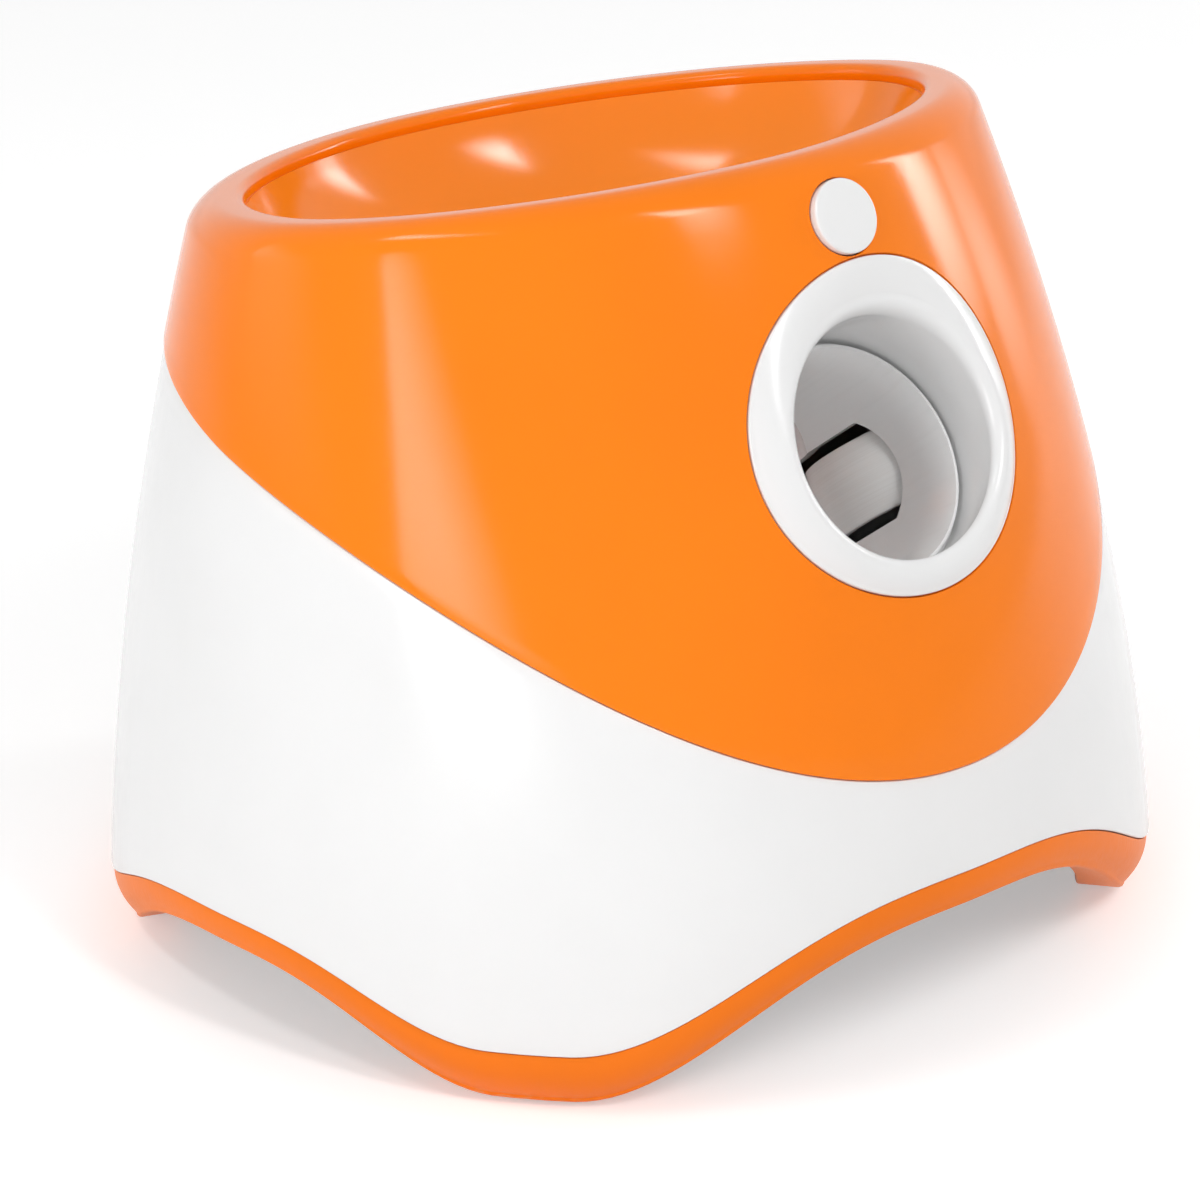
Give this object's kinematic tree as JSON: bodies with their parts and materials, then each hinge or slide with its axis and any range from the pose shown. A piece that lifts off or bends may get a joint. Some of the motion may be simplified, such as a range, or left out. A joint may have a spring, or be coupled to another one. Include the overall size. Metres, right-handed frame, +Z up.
{
  "type": "automatic dog ball launcher",
  "caption": "Automatic dog ball launcher: bell-shaped casing with an open feed bowl, a slanted launch barrel between spinning wheels, a release gate and a push button.",
  "frame": {"origin": "middle of the footprint at the height of the foot pads' undersides", "axes": "-Y out of the front with the launch opening, +Z up, +X to the right of someone facing the front"},
  "size_m": [0.2618, 0.2451, 0.2062],
  "materials": {
    "orange_gloss": "high gloss",
    "orange_satin": "satin",
    "white_gloss": "high gloss",
    "grey_moulding": "matt",
    "black_moulding": "matt",
    "pale_urethane": "satin",
    "foot_rubber": "matt",
    "bright_steel": "satin",
    "brass": "satin",
    "circuit_board": "satin",
    "cell_sleeve": "printed sleeve, shown plain"
  },
  "bodies": {
    "casing": {"lower_shell": "white_gloss", "top_housing": "orange_gloss", "hopper_bowl": "orange_gloss", "base_trim": "orange_satin", "exit_bezel": "white_gloss", "launch_barrel": "white_gloss", "drive_motor_left": "bright_steel", "drive_motor_right": "bright_steel", "launcher_chassis": "grey_moulding", "feed_chute": "grey_moulding", "gate_pin": "bright_steel", "gate_motor": "bright_steel", "sensor_pin": "bright_steel", "sensor_switch": "black_moulding", "foot_pad_front_left": "foot_rubber", "foot_pad_front_right": "foot_rubber", "foot_pad_rear_left": "foot_rubber", "foot_pad_rear_right": "foot_rubber", "bottom_cover": "grey_moulding", "cover_screw_left_front": "bright_steel", "cover_screw_left_rear": "bright_steel", "cover_screw_right_front": "bright_steel", "cover_screw_right_rear": "bright_steel", "battery_tray": "black_moulding", "battery_contact_left": "bright_steel", "battery_contact_right": "bright_steel", "control_board": "circuit_board", "sounder": "black_moulding", "power_jack": "black_moulding", "button_board": "circuit_board", "button_spring": "bright_steel", "cell_1": "cell_sleeve", "cell_2": "cell_sleeve", "cell_3": "cell_sleeve", "cell_4": "cell_sleeve", "cell_5": "cell_sleeve", "cell_6": "cell_sleeve"},
    "wheel_left": {"wheel_left": "pale_urethane", "wheel_shaft_left": "bright_steel"},
    "wheel_right": {"wheel_right": "pale_urethane", "wheel_shaft_right": "bright_steel"},
    "release_gate": {"release_gate": "grey_moulding"},
    "gate_pinion": {"gate_pinion": "brass"},
    "sensor_lever": {"sensor_lever": "black_moulding"},
    "button": {"button": "white_gloss"},
    "battery_door": {"battery_door": "grey_moulding"}
  },
  "joints": [
    {"name": "wheel_left_spin", "type": "hinge", "parent": "casing", "child": "wheel_left", "pos_m": [-0.052, -0.04951, 0.11306], "axis": [0, 0.6018, 0.7986], "continuous": true},
    {"name": "wheel_right_spin", "type": "hinge", "parent": "casing", "child": "wheel_right", "pos_m": [0.052, -0.04951, 0.11306], "axis": [0, 0.6018, 0.7986], "continuous": true},
    {"name": "release_gate_swing", "type": "hinge", "parent": "casing", "child": "release_gate", "pos_m": [0.04, -0.01277, 0.12857], "axis": [0, 0.6018, 0.7986], "range_deg": [-53, 0]},
    {"name": "gate_pinion_spin", "type": "hinge", "parent": "casing", "child": "gate_pinion", "pos_m": [0.0535, -0.01277, 0.12857], "axis": [0, 0.6018, 0.7986], "range_deg": [0, 106]},
    {"name": "sensor_lever_swing", "type": "hinge", "parent": "casing", "child": "sensor_lever", "pos_m": [-0.035, -0.00495, 0.13896], "axis": [0, 0.7986, -0.6018], "range_deg": [0, 20], "stiffness_Nm_per_rad": 0.0005, "springref_deg": -17.19},
    {"name": "button_press", "type": "slide", "parent": "casing", "child": "button", "axis": [0, 0.888, -0.4599], "range_m": [0, 0.0015], "stiffness_N_per_m": 400, "springref_m": -0.003, "deforming": ["button_spring"]},
    {"name": "battery_door_swing", "type": "hinge", "parent": "casing", "child": "battery_door", "pos_m": [0, 0.0899, 0.041], "axis": [1, 0, 0], "range_deg": [0, 90]}
  ],
  "couplings": [
    {"joint": "gate_pinion_spin", "follows": "release_gate_swing", "ratio": -2}
  ]
}
